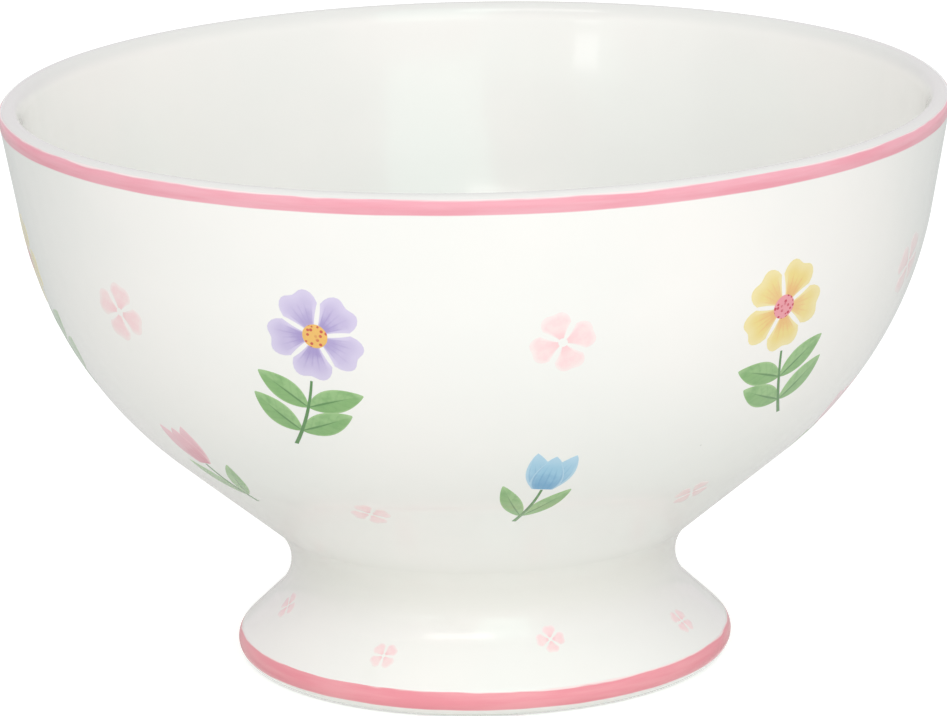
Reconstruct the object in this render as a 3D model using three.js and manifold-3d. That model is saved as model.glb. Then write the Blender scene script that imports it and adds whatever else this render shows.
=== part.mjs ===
// A footed porcelain bowl, put together as it is made: a cup and a flared pedestal foot, luted with slip,
// then banded and printed in enamel. Millimetres, +Z up, origin on the table under the middle of the bowl.
// A bearing is an angle round the bowl, from the front (-Y) towards +X.
import * as THREE from "three";
import { mergeVertices } from "three/addons/utils/BufferGeometryUtils.js";
import Module from "manifold-3d";

const wasm = await Module();
wasm.setup();

// Cup, with leans in degrees from upright
const RIM_RADIUS = 75;
const HEIGHT = 91.5;
const LIP_THICKNESS = 3.5;
const WALL_LEAN = 10;
const BELLY_RADIUS = 63;
const LOWER_WALL_LEAN = 50;
const LOWER_WALL_THICKNESS = 4.6;
const FLOOR_THICKNESS = 5;
const FLOOR_RADIUS = 75;

// Pedestal foot, and the luted joint at its neck
const NECK_RADIUS = 30.9;
const NECK_HEIGHT = 15.8;
const NECK_FILLET = 8.2;
const FOOT_FLARE = 8.8;
const FOOT_EDGE_RADIUS = 2.8;
const STANDING_WIDTH = 4.4;
const STANDING_EDGE_RADIUS = 1.4;
const LAND_WIDTH = 6.4;
const SLIP_THICKNESS = 0.6;
const RECESS_DEPTH = 3;

// Enamel bands: the first is measured from the top of the lip, the second from the standing ring
const RIM_BAND_DROP = 1.5;
const RIM_BAND_WIDTH = 2.5;
const FOOT_BAND_RISE = 3;
const FOOT_BAND_WIDTH = 3.1;
const BAND_THICKNESS = 0.2;
const BAND_CLEARANCE = 0.06;

// Enamel transfers: blooms high on the wall, tulips below and between them, measured down from the lip
const SPRIGS_PER_ROW = 6;
const TRANSFER_THICKNESS = 0.2;
const TRANSFER_CLEARANCE = 0.15;
const BLOOM_DROP = 24;
const BLOOM_BEARING = 40;
const BLOOM_TILT = 12;
const BLOOM_RADIUS = 8;
const BLOOM_PETALS = 5;
const BLOOM_NOTCH = 4.4;
const EYE_RADIUS = 2;
const TULIP_DROP = 51;
const TULIP_BEARING = 10;
const TULIP_TILT = -10;
const TULIP_WIDTH = 8.4;
const TULIP_HEIGHT = 9.2;
const TULIP_TIP = 0.9;

// Stems and leaves
const STEM_WIDTH = 0.9;
const STEM_RELIEF = 0.08;
const BLOOM_STEM_LENGTH = 14;
const BLOOM_STEM_BEND = 2.4;
const BLOOM_STEM_TAIL = 3.4;
const BLOOM_LEAF_LENGTH = 9.6;
const BLOOM_LEAF_WIDTH = 4.2;
const BLOOM_LEAF_SPREAD = 58;
const BLOOM_LEAF_PAIRS = 2;
const TULIP_STEM_LENGTH = 10.5;
const TULIP_STEM_BEND = -1.2;
const TULIP_STEM_TAIL = 2;
const TULIP_LEAF_LENGTH = 10.4;
const TULIP_LEAF_WIDTH = 2.9;
const TULIP_LEAF_SPREAD = 34;
const TULIP_LEAF_PAIRS = 1;

// Fineness of the facets
const TURN_STEPS = 60;
const CHORD_ERROR = 0.08;
const BAND_STEPS = 4;
const BLOOM_STEPS = 40;
const TULIP_STEPS = 24;
const EYE_STEPS = 12;
const LEAF_STEPS = 12;
const STEM_STEPS = 5;

// Roughness of the finishes, and colours
const GLAZED = 0.12;
const FIRED_ENAMEL = 0.22;
const BISQUE = 0.8;
const PORCELAIN = 0xf6f7f2;
const DRIED_SLIP = 0xf0eee6;
const RIM_PINK = 0xf8b6c1;
const FOOT_PINK = 0xf4a3ac;
const LEAF_GREEN = 0x8cb978;
const BLOOM_COLOURS = [0xebd782, 0xc9c0e0];
const EYE_COLOURS = [0xe6919c, 0xe8b455];
const TULIP_COLOURS = [0x96c8e1, 0xebaab9];

const radians = THREE.MathUtils.degToRad;
const QUARTER_TURN = Math.PI / 2;
const FULL_TURN = 2 * Math.PI;
const SAME_POINT = 1e-6;

// A straight side of the meridian, a given distance outside a point: its outward normal and its distance
// from the origin.
function side(lean, point, outside) {
  const normal = new THREE.Vector2(Math.cos(lean), -Math.sin(lean));
  return { normal, distance: normal.dot(point) + outside };
}

// Where two sides cross, once both are moved inwards.
function crossing(a, b, inset) {
  const turn = a.normal.cross(b.normal);
  const p = a.distance - inset;
  const q = b.distance - inset;
  const x = (p * b.normal.y - q * a.normal.y) / turn;
  const y = (q * a.normal.x - p * b.normal.x) / turn;
  return new THREE.Vector2(x, y);
}

// The wanted radius of the curve between two sides, or the largest that ends within each room along them.
function rounding(wanted, turn, rooms) {
  return Math.min(wanted, ...rooms.map((room) => room / Math.tan(turn / 2)));
}

// Lip, neck and foot edge, the round parts that the sides of the meridian start from
const wallLean = radians(WALL_LEAN);
const lowerLean = radians(LOWER_WALL_LEAN);
const bellyTurn = lowerLean - wallLean;
const floorTurn = QUARTER_TURN - lowerLean;
const lipRadius = LIP_THICKNESS / 2;
const lip = new THREE.Vector2(RIM_RADIUS - lipRadius, HEIGHT - lipRadius);
const footRadius = NECK_RADIUS + FOOT_FLARE;
const footEdge = new THREE.Vector2(footRadius - FOOT_EDGE_RADIUS, FOOT_EDGE_RADIUS);
const neckRoom = footEdge.distanceToSquared(new THREE.Vector2(NECK_RADIUS, NECK_HEIGHT));
const neckFillet = Math.min(NECK_FILLET, (neckRoom - FOOT_EDGE_RADIUS ** 2) / (2 * FOOT_FLARE));
const neck = new THREE.Vector2(NECK_RADIUS + neckFillet, NECK_HEIGHT);

// Outside of the cup: the upper wall leaves the lip, and the lower wall leaves the neck
const wall = side(wallLean, lip, lipRadius);
const lowerWall = side(lowerLean, neck, -neckFillet);
const corner = crossing(wall, lowerWall, 0);
const wallRoom = corner.distanceTo(lip.clone().addScaledVector(wall.normal, lipRadius));
const lowerRoom = corner.distanceTo(neck.clone().addScaledVector(lowerWall.normal, -neckFillet));
const bellyRadius = rounding(BELLY_RADIUS, bellyTurn, [wallRoom, lowerRoom]);
const belly = crossing(wall, lowerWall, bellyRadius);

// Joint between cup and foot, and the shallow recess under the cup
const jointTop = NECK_HEIGHT + SLIP_THICKNESS / 2;
const jointBottom = NECK_HEIGHT - SLIP_THICKNESS / 2;
const jointAngle = Math.asin(SLIP_THICKNESS / 2 / neckFillet);
const boreRadius = NECK_RADIUS - LAND_WIDTH;
const recessCeiling = jointTop + RECESS_DEPTH;

// Inside of the cup, parallel to the outside
const floorHeight = recessCeiling + FLOOR_THICKNESS;
const innerWall = side(wallLean, lip, -lipRadius);
const innerLowerWall = side(lowerLean, neck, -neckFillet - LOWER_WALL_THICKNESS);
const floor = side(QUARTER_TURN, new THREE.Vector2(0, floorHeight), 0);
const innerCorner = crossing(innerWall, innerLowerWall, 0);
const innerBellyRadius = bellyRadius - LOWER_WALL_THICKNESS;
const innerBelly = crossing(innerWall, innerLowerWall, innerBellyRadius);
const floorCorner = crossing(innerLowerWall, floor, 0);
const floorRoom = floorCorner.distanceTo(innerCorner) - innerBellyRadius * Math.tan(bellyTurn / 2);
const floorRadius = rounding(FLOOR_RADIUS, floorTurn, [floorRoom, floorCorner.x]);
const dish = crossing(innerLowerWall, floor, floorRadius);

// Foot: a straight flank that touches the neck's curve on one side and the foot's edge on the other
const flank = footEdge.clone().sub(neck);
const flankAngle = flank.angle() - Math.acos((neckFillet + FOOT_EDGE_RADIUS) / flank.length());
const standingRadius = footEdge.x - STANDING_WIDTH;

// The outside of the cup, from the top of the lip to the joint. A path joins its arcs by straight lines.
function traceCup(path) {
  path.absarc(lip.x, lip.y, lipRadius, QUARTER_TURN, -wallLean, true);
  path.absarc(belly.x, belly.y, bellyRadius, -wallLean, -lowerLean, true);
  path.absarc(neck.x, neck.y, neckFillet, Math.PI - lowerLean, Math.PI - jointAngle, false);
  return path;
}

// The outside of the foot from the joint to the table.
function traceFoot(path) {
  path.absarc(neck.x, neck.y, neckFillet, Math.PI + jointAngle, flankAngle, false);
  path.absarc(footEdge.x, footEdge.y, FOOT_EDGE_RADIUS, flankAngle - Math.PI, -QUARTER_TURN, true);
  return path;
}

// The whole outside, from the top of the lip to the standing ring, on which the enamel lies
const outside = traceFoot(traceCup(new THREE.Path()));
const outsideLength = outside.getLength();

// A place on the outside: the point of the meridian that far down from the lip, lifted off the surface.
function meridian(drop, lift) {
  const share = drop / outsideLength;
  const along = outside.getTangent(share);
  const outward = new THREE.Vector2(-along.y, along.x);
  return outside.getPoint(share).addScaledVector(outward, lift);
}

// The points of a path, with each arc in as many chords as keep within the chord error.
function sampled(path) {
  const points = path.curves.flatMap((curve) => {
    if (!curve.isEllipseCurve) return curve.getPoints(1);
    const chord = 2 * Math.acos(1 - CHORD_ERROR / curve.xRadius);
    const sweep = curve.getLength() / curve.xRadius;
    return curve.getPoints(Math.ceil(sweep / chord));
  });
  return points.filter((point, i) => i === 0 || point.distanceTo(points[i - 1]) > SAME_POINT);
}

// A turned solid about +Z.
function turned(points) {
  return new THREE.LatheGeometry(points, TURN_STEPS).rotateX(QUARTER_TURN);
}

function cup() {
  const path = new THREE.Path();
  path.moveTo(0, floorHeight);
  path.lineTo(dish.x, floorHeight);
  path.absarc(dish.x, dish.y, floorRadius, -QUARTER_TURN, -lowerLean, false);
  path.absarc(innerBelly.x, innerBelly.y, innerBellyRadius, -lowerLean, -wallLean, false);
  path.absarc(lip.x, lip.y, lipRadius, Math.PI - wallLean, QUARTER_TURN, true);
  traceCup(path);
  path.lineTo(boreRadius, jointTop);
  path.lineTo(boreRadius, recessCeiling);
  path.lineTo(0, recessCeiling);
  return turned(sampled(path).reverse());
}

function pedestalFoot() {
  const path = traceFoot(new THREE.Path());
  const edge = STANDING_EDGE_RADIUS;
  path.absarc(standingRadius, edge, edge, -QUARTER_TURN, -Math.PI, true);
  path.lineTo(boreRadius, jointBottom);
  path.closePath();
  return turned(sampled(path).reverse());
}

function lutingSlip() {
  const section = [
    new THREE.Vector2(boreRadius, jointBottom),
    new THREE.Vector2(NECK_RADIUS, jointBottom),
    new THREE.Vector2(NECK_RADIUS, jointTop),
    new THREE.Vector2(boreRadius, jointTop),
  ];
  return turned([...section, section[0]]);
}

// A ring of enamel on the outside, between two drops from the lip.
function band(upper, width) {
  const drops = Array.from({ length: BAND_STEPS + 1 }, (_, i) => upper + (width * i) / BAND_STEPS);
  const under = drops.map((drop) => meridian(drop, BAND_CLEARANCE));
  const over = drops.map((drop) => meridian(drop, BAND_CLEARANCE + BAND_THICKNESS));
  return turned([...under, ...over.reverse(), under[0]]);
}

// Flat enamel, before it goes on the wall: x to the right, y up the wall and z off it

// A thin patch whose edge is given as a point for each angle, with an optional round hole.
function patch(edge, steps, hole = 0) {
  const bottom = TRANSFER_CLEARANCE;
  const top = bottom + TRANSFER_THICKNESS;
  const inner = hole ? 1 : 0;
  const section = [[inner, bottom], [inner + 1, bottom], [inner + 1, top], [inner, top]];
  if (hole) section.push(section[0]);
  const disc = new THREE.LatheGeometry(section.map((p) => new THREE.Vector2(...p)), steps);
  const place = disc.attributes.position;
  for (let i = 0; i < place.count; i++) {
    const angle = Math.atan2(place.getZ(i), -place.getX(i));
    const share = Math.hypot(place.getX(i), place.getZ(i)) - inner;
    const rim = edge(angle);
    const start = new THREE.Vector2(Math.cos(angle), Math.sin(angle)).multiplyScalar(hole);
    const point = start.lerp(rim, share);
    place.setXYZ(i, point.x, point.y, place.getY(i));
  }
  return disc;
}

// Five round petals, one of them straight down at the stem.
function bloomEdge(angle) {
  const petals = ((angle + QUARTER_TURN) / FULL_TURN) * BLOOM_PETALS;
  const across = 2 * (petals - Math.round(petals));
  const swell = Math.sqrt(Math.max(0, 1 - across ** 2));
  const reach = BLOOM_NOTCH + (BLOOM_RADIUS - BLOOM_NOTCH) * swell;
  return new THREE.Vector2(Math.cos(angle), Math.sin(angle)).multiplyScalar(reach);
}

// A round-bottomed cup with three tips along the top.
function tulipEdge(angle) {
  const tips = TULIP_TIP * Math.cos(4 * angle) * Math.max(0, Math.sin(angle));
  const x = (TULIP_WIDTH / 2) * Math.cos(angle);
  const y = (TULIP_HEIGHT / 2) * Math.sin(angle) + tips;
  return new THREE.Vector2(x, y);
}

function roundEdge(radius) {
  return (angle) => new THREE.Vector2(Math.cos(angle), Math.sin(angle)).multiplyScalar(radius);
}

// A leaf pointed at both ends, from the origin along +x.
function leafEdge(length, width) {
  return (angle) => {
    const across = Math.sin(angle) * Math.sqrt(Math.abs(Math.sin(angle)));
    return new THREE.Vector2((length / 2) * (1 + Math.cos(angle)), (width / 2) * across);
  };
}

// A stem that hangs from a point and bends sideways as it goes down, a little thicker than its leaves.
function stem(top, length, bend) {
  const thickness = TRANSFER_THICKNESS + 2 * STEM_RELIEF;
  const ribbon = new THREE.BoxGeometry(STEM_WIDTH, length, thickness, 1, STEM_STEPS, 1);
  ribbon.translate(0, -length / 2, TRANSFER_CLEARANCE + TRANSFER_THICKNESS / 2);
  const place = ribbon.attributes.position;
  for (let i = 0; i < place.count; i++) {
    place.setX(i, place.getX(i) + bend * (place.getY(i) / length) ** 2);
  }
  return ribbon.translate(0, top, 0);
}

// A stem with pairs of leaves, evenly spaced above its bare tail.
function spray(top, s) {
  const green = [stem(top, s.stemLength, s.stemBend)];
  for (let pair = 0; pair < s.leafPairs; pair++) {
    const down = (s.stemLength - s.stemTail) * (1 - pair / s.leafPairs);
    const aside = s.stemBend * (down / s.stemLength) ** 2;
    for (const hand of [1, -1]) {
      const leaf = patch(leafEdge(s.leafLength, s.leafWidth), LEAF_STEPS);
      leaf.rotateZ(QUARTER_TURN - hand * radians(s.leafSpread));
      green.push(leaf.translate(aside, top - down, 0));
    }
  }
  return green;
}

// Lays flat enamel on the wall, turned by a tilt, around a drop from the lip and a bearing.
function laid(flat, spot) {
  flat.rotateZ(spot.tilt);
  const place = flat.attributes.position;
  for (let i = 0; i < place.count; i++) {
    const drop = spot.drop - place.getY(i);
    const bearing = spot.bearing + place.getX(i) / meridian(drop, 0).x;
    const point = meridian(drop, place.getZ(i));
    place.setXYZ(i, point.x * Math.sin(bearing), -point.x * Math.cos(bearing), point.y);
  }
  return flat;
}

// One closed body from several that cross.
function joined(geometries) {
  const bodies = geometries.map((geometry) => {
    geometry.deleteAttribute("normal");
    geometry.deleteAttribute("uv");
    const whole = mergeVertices(geometry);
    const vertProperties = whole.attributes.position.array;
    const triVerts = new Uint32Array(whole.index.array);
    return new wasm.Manifold(new wasm.Mesh({ numProp: 3, vertProperties, triVerts }));
  });
  const mesh = bodies.reduce((sum, body) => sum.add(body)).getMesh();
  const geometry = new THREE.BufferGeometry();
  geometry.setAttribute("position", new THREE.BufferAttribute(mesh.vertProperties, 3));
  geometry.setIndex(new THREE.BufferAttribute(mesh.triVerts, 1));
  geometry.computeVertexNormals();
  return geometry;
}

function part(name, geometry, color, roughness) {
  const mesh = new THREE.Mesh(geometry, new THREE.MeshStandardMaterial({ color, roughness, metalness: 0 }));
  mesh.name = name;
  return mesh;
}

// A row of sprigs round the bowl, evenly spaced, with tilts to the left and right in turn.
function row(drop, bearing, tilt) {
  return Array.from({ length: SPRIGS_PER_ROW }, (_, i) => ({
    number: i + 1,
    choice: i % 2,
    drop,
    bearing: radians(bearing) + (FULL_TURN * i) / SPRIGS_PER_ROW,
    tilt: radians(i % 2 ? -tilt : tilt),
  }));
}

function bloomSprig(spot) {
  const stemTop = -BLOOM_RADIUS - TRANSFER_CLEARANCE;
  const green = spray(stemTop, {
    stemLength: BLOOM_STEM_LENGTH,
    stemBend: spot.choice ? -BLOOM_STEM_BEND : BLOOM_STEM_BEND,
    stemTail: BLOOM_STEM_TAIL,
    leafLength: BLOOM_LEAF_LENGTH,
    leafWidth: BLOOM_LEAF_WIDTH,
    leafSpread: BLOOM_LEAF_SPREAD,
    leafPairs: BLOOM_LEAF_PAIRS,
  });
  const petals = laid(patch(bloomEdge, BLOOM_STEPS, EYE_RADIUS + TRANSFER_CLEARANCE), spot);
  const eye = laid(patch(roundEdge(EYE_RADIUS), EYE_STEPS), spot);
  const leaves = joined(green.map((flat) => laid(flat, spot)));
  return [
    part(`bloom_${spot.number}_petals`, petals, BLOOM_COLOURS[spot.choice], FIRED_ENAMEL),
    part(`bloom_${spot.number}_eye`, eye, EYE_COLOURS[spot.choice], FIRED_ENAMEL),
    part(`bloom_${spot.number}_leaves`, leaves, LEAF_GREEN, FIRED_ENAMEL),
  ];
}

function tulipSprig(spot) {
  const stemTop = -TULIP_HEIGHT / 2 - TRANSFER_CLEARANCE;
  const green = spray(stemTop, {
    stemLength: TULIP_STEM_LENGTH,
    stemBend: spot.choice ? -TULIP_STEM_BEND : TULIP_STEM_BEND,
    stemTail: TULIP_STEM_TAIL,
    leafLength: TULIP_LEAF_LENGTH,
    leafWidth: TULIP_LEAF_WIDTH,
    leafSpread: TULIP_LEAF_SPREAD,
    leafPairs: TULIP_LEAF_PAIRS,
  });
  const petals = laid(patch(tulipEdge, TULIP_STEPS), spot);
  const leaves = joined(green.map((flat) => laid(flat, spot)));
  return [
    part(`tulip_${spot.number}_petals`, petals, TULIP_COLOURS[spot.choice], FIRED_ENAMEL),
    part(`tulip_${spot.number}_leaves`, leaves, LEAF_GREEN, FIRED_ENAMEL),
  ];
}

const body = new THREE.Group();
body.add(part("cup", cup(), PORCELAIN, GLAZED));
body.add(part("luting_slip", lutingSlip(), DRIED_SLIP, BISQUE));
body.add(part("pedestal_foot", pedestalFoot(), PORCELAIN, GLAZED));

const bands = new THREE.Group();
const footBandDrop = outsideLength - FOOT_BAND_RISE - FOOT_BAND_WIDTH;
bands.add(part("rim_band", band(RIM_BAND_DROP, RIM_BAND_WIDTH), RIM_PINK, FIRED_ENAMEL));
bands.add(part("foot_band", band(footBandDrop, FOOT_BAND_WIDTH), FOOT_PINK, FIRED_ENAMEL));

const transfers = new THREE.Group();
transfers.add(...row(BLOOM_DROP, BLOOM_BEARING, BLOOM_TILT).flatMap(bloomSprig));
transfers.add(...row(TULIP_DROP, TULIP_BEARING, TULIP_TILT).flatMap(tulipSprig));

const bowl = new THREE.Group();
bowl.add(body, bands, transfers);

export default bowl;
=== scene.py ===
"""Footed porcelain bowl with pink enamel bands and painted sprigs, on a pale studio floor."""

import math

import bpy
import numpy as np
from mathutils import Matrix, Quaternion, Vector


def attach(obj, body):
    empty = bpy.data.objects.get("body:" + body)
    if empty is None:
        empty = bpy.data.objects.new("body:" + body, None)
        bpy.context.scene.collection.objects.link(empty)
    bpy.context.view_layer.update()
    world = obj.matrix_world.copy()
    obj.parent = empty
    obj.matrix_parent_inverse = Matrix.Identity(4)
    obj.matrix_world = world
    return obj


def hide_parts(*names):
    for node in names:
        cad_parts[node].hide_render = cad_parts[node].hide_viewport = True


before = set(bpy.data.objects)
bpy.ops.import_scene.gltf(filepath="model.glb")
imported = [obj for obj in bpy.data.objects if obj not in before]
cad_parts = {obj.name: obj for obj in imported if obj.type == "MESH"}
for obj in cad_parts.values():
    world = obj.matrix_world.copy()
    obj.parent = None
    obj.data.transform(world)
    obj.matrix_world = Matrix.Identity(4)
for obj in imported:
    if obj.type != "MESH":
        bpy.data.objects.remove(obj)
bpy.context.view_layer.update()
scene = bpy.context.scene

# Sizes of the bowl, in millimetres and radians, as in the solids
MM = 0.001
RIM_RADIUS = 75.0
HEIGHT = 91.5
LIP_RADIUS = 1.75
WALL_LEAN = math.radians(10)
BELLY_RADIUS = 63.0
LOWER_LEAN = math.radians(50)
LOWER_THICKNESS = 4.6
FLOOR_THICKNESS = 5.0
FLOOR_RADIUS = 75.0
NECK_RADIUS = 30.9
NECK_HEIGHT = 15.8
NECK_FILLET = 8.2
FOOT_RADIUS = 39.7
FOOT_EDGE = 2.8
STANDING_WIDTH = 4.4
STANDING_EDGE = 1.4
BORE_RADIUS = 24.5
SLIP_HALF = 0.3
RECESS_DEPTH = 3.0

# Inside of the cup: its lean above the belly and under the lip, and the height over which the lip rolls in
INSIDE_LEAN = math.radians(13)
LIP_LEAN = math.radians(8)
LIP_ROLL = 4.0

# Easing of the bends at the neck: its spread along the meridian, and how far from the joint it fades out
NECK_EASE = 3.0
NECK_EASE_REACH = 18.0
EASE_SAMPLES = 61

# Underneath: the rounded corner of the recess, and the height up to which the ring is unglazed
RECESS_FILLET = 1.2
DRY_HEIGHT = 0.25

# Enamel bands, from the top of the lip or up from the standing ring, and the wander of their edges
RIM_BAND_DROP = 1.5
RIM_BAND_WIDTH = 2.5
RIM_BAND_WANDER = 0.07
FOOT_BAND_RISE = 3.0
FOOT_BAND_WIDTH = 3.1
FOOT_BAND_UPPER_WANDER = 0.1
FOOT_BAND_LOWER_WANDER = 0.08

# Enamel above the surface at its middle and at the edge of a band, and how deep its underside lies
ENAMEL_LIFT = 0.03
BAND_EDGE_LIFT = 0.004
ENAMEL_ROOT = -0.05

# Painted sprigs, millimetres down from the lip, with bearings and tilts in degrees
SPRIGS = 6
SPRIG_STEP = 360 / SPRIGS
STEM_GAP = 0.15
BLOOM_DROP = 24.0
BLOOM_BEARING = 40.0
BLOOM_TILT = 12.0
BLOOM_RADIUS = 8.0
BLOOM_PETALS = 5
BLOOM_SPREAD = math.radians(33.5)
BLOOM_NOTCH = 0.1
BLOOM_MIDDLE = 1.5
EYE_RADIUS = 2.0
BLOOM_STEM = {"length": 14.0, "bend": 2.4, "tail": 3.4}
BLOOM_LEAVES = {"leaf_length": 9.6, "leaf_width": 4.2, "spread": math.radians(58), "pairs": 2}
TULIP_DROP = 51.0
TULIP_BEARING = 10.0
TULIP_TILT = -10.0
TULIP_HEIGHT = 9.2
TULIP_STEM = {"length": 10.5, "bend": -1.2, "tail": 2.0}
TULIP_LEAVES = {"leaf_length": 10.4, "leaf_width": 2.9, "spread": math.radians(34), "pairs": 1}

# Petals of a tulip: how far the tip lies aside, reach, half width and layers of enamel
TULIP_PETALS = ((-3.1, 8.9, 2.5, 1.0), (3.1, 8.9, 2.5, 1.0), (0.0, 8.4, 2.7, 1.6))

# Strokes of the brush: stems, leaves and the layers of enamel on stems and eyes
STEM_HALF_WIDTH = 0.2
STEM_GROWTH = 0.13
STEM_LAYERS = 1.5
LEAF_HALF_LEAST = 0.12
LEAF_CURL = 0.5
EYE_LAYERS = 2

# Small pale blossoms over the tulips, under the blooms and on the foot. The middle is a share of the radius
BLOSSOM_PETALS = 4
BLOSSOM_SPREAD = math.radians(38)
BLOSSOM_NOTCH = 0.07
BLOSSOM_MIDDLE = 0.14
UPPER_BLOSSOM_DROP = 25.0
UPPER_BLOSSOM_TILT = 20.0
UPPER_BLOSSOM_RADIUS = 5.2
LOWER_BLOSSOM_DROP = 64.0
LOWER_BLOSSOM_TILT = -15.0
LOWER_BLOSSOM_RADIUS = 3.4
FOOT_BLOSSOMS = 8
FOOT_BLOSSOM_STEP = 360 / FOOT_BLOSSOMS
FOOT_BLOSSOM_RISES = (14.5, 11.5)
FOOT_BLOSSOM_BEARING = 18.0
FOOT_BLOSSOM_TILT = 45.0
FOOT_BLOSSOM_RADIUS = 2.4

# Fineness of the meshes: steps round the bowl, along the meridian and over the patches
TURNS = 240
BAND_TURNS = 720
BAND_STEPS = 10
FINE = 8
LIP_STEPS = 14
BELLY_STEPS = 40
FILLET_STEPS = 14
JOINT_STEPS = 6
FLANK_STEPS = 18
EDGE_STEPS = 14
STANDING_STEPS = 8
CORNER_STEPS = 6
DISH_STEPS = 30
INSIDE_STEPS = 36
WALL_STEPS = 16
ROLL_STEPS = 16
PETAL_GRID = (10, 14)
LEAF_GRID = (14, 8)
STEM_GRID = (16, 4)
EYE_GRID = (6, 28)
TULIP_GRID = (14, 10)
SHARP_EDGE = math.radians(40)


# Meridian of the bowl


def side(lean, point, outside):
    """A straight side of the meridian: its outward normal and its distance from the origin."""
    normal = np.array((math.cos(lean), -math.sin(lean)))
    return normal, normal @ point + outside


def crossing(first, second, inset):
    """Where two sides cross, once both are moved inwards."""
    normals = np.array((first[0], second[0]))
    return np.linalg.solve(normals, np.array((first[1] - inset, second[1] - inset)))


def arc(centre, radius, start, end, steps):
    """Points on an arc, with both ends."""
    angles = np.linspace(start, end, steps + 1)
    return np.column_stack((centre[0] + radius * np.cos(angles), centre[1] + radius * np.sin(angles)))


lip = np.array((RIM_RADIUS - LIP_RADIUS, HEIGHT - LIP_RADIUS))
foot_edge = np.array((FOOT_RADIUS - FOOT_EDGE, FOOT_EDGE))
neck = np.array((NECK_RADIUS + NECK_FILLET, NECK_HEIGHT))
joint_top = NECK_HEIGHT + SLIP_HALF
joint_bottom = NECK_HEIGHT - SLIP_HALF
outer_wall = side(WALL_LEAN, lip, LIP_RADIUS)
outer_lower = side(LOWER_LEAN, neck, -NECK_FILLET)
inner_wall = side(WALL_LEAN, lip, -LIP_RADIUS)
inner_lower = side(LOWER_LEAN, neck, -NECK_FILLET - LOWER_THICKNESS)
recess_ceiling = joint_top + RECESS_DEPTH
floor_height = recess_ceiling + FLOOR_THICKNESS
inner_floor = side(math.pi / 2, np.array((0.0, floor_height)), 0.0)
belly = crossing(outer_wall, outer_lower, BELLY_RADIUS)
inner_belly_radius = BELLY_RADIUS - LOWER_THICKNESS
inner_belly = crossing(inner_wall, inner_lower, inner_belly_radius)
dish = crossing(inner_lower, inner_floor, FLOOR_RADIUS)
joint_angle = math.asin(SLIP_HALF / NECK_FILLET)
flank = foot_edge - neck
flank_turn = math.acos((NECK_FILLET + FOOT_EDGE) / np.linalg.norm(flank))
flank_angle = math.atan2(flank[1], flank[0]) % (2 * math.pi) - flank_turn
standing = np.array((foot_edge[0] - STANDING_WIDTH, STANDING_EDGE))


def cup_outside(fine):
    """The outside of the cup from the top of the lip to the joint."""
    return np.concatenate((
        arc(lip, LIP_RADIUS, math.pi / 2, -WALL_LEAN, LIP_STEPS * fine),
        arc(belly, BELLY_RADIUS, -WALL_LEAN, -LOWER_LEAN, BELLY_STEPS * fine),
        arc(neck, NECK_FILLET, math.pi - LOWER_LEAN, math.pi - joint_angle, FILLET_STEPS * fine),
    ))


def neck_outside(fine):
    """The outside of the joint between cup and foot."""
    return arc(neck, NECK_FILLET, math.pi - joint_angle, math.pi + joint_angle, JOINT_STEPS * fine)


def foot_outside(fine):
    """The outside of the foot from the joint to the table."""
    return np.concatenate((
        arc(neck, NECK_FILLET, math.pi + joint_angle, flank_angle, FLANK_STEPS * fine),
        arc(foot_edge, FOOT_EDGE, flank_angle - math.pi, -math.pi / 2, EDGE_STEPS * fine),
    ))


plain = np.concatenate((cup_outside(FINE), neck_outside(FINE)[1:-1], foot_outside(FINE)))
outside_drops = np.concatenate(((0.0,), np.cumsum(np.linalg.norm(np.diff(plain, axis=0), axis=1))))
outside_length = outside_drops[-1]

# The plain meridian, averaged along its length near the joint and set back to the radius of the neck
spread = np.linspace(-3, 3, EASE_SAMPLES)
bell = np.exp(-spread ** 2 / 2)
weights = bell / bell.sum()
places = outside_drops[:, None] + NECK_EASE * spread
soft_radius = np.interp(places, outside_drops, plain[:, 0]) @ weights
soft_height = np.interp(places, outside_drops, plain[:, 1]) @ weights
joint = np.argmin(soft_radius)
away = np.abs(outside_drops - outside_drops[joint]) / NECK_EASE_REACH
easing = np.cos(np.minimum(away, 1) * math.pi / 2) ** 2
soft = np.column_stack((soft_radius - soft_radius[joint] + NECK_RADIUS, soft_height))
outside = plain + easing[:, None] * (soft - plain)


def eased(points):
    """Points of the plain meridian, moved to the eased one."""
    return outside[np.linalg.norm(points[:, None] - plain, axis=2).argmin(axis=1)]


def on_outside(drop, lift):
    """Radius and height of places on the outside, that far down from the lip and lifted off the surface."""
    step = 0.05
    radius = np.interp(drop, outside_drops, outside[:, 0])
    height = np.interp(drop, outside_drops, outside[:, 1])
    along_r = np.interp(drop + step, outside_drops, outside[:, 0])
    along_r = along_r - np.interp(drop - step, outside_drops, outside[:, 0])
    along_z = np.interp(drop + step, outside_drops, outside[:, 1])
    along_z = along_z - np.interp(drop - step, outside_drops, outside[:, 1])
    length = np.hypot(along_r, along_z)
    return radius - along_z / length * lift, height + along_r / length * lift


def around(radius, bearing, height):
    """Points at a bearing from the front, counted towards the right."""
    return np.stack((radius * np.sin(bearing), -radius * np.cos(bearing), height), axis=-1)


# Meshes


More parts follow.
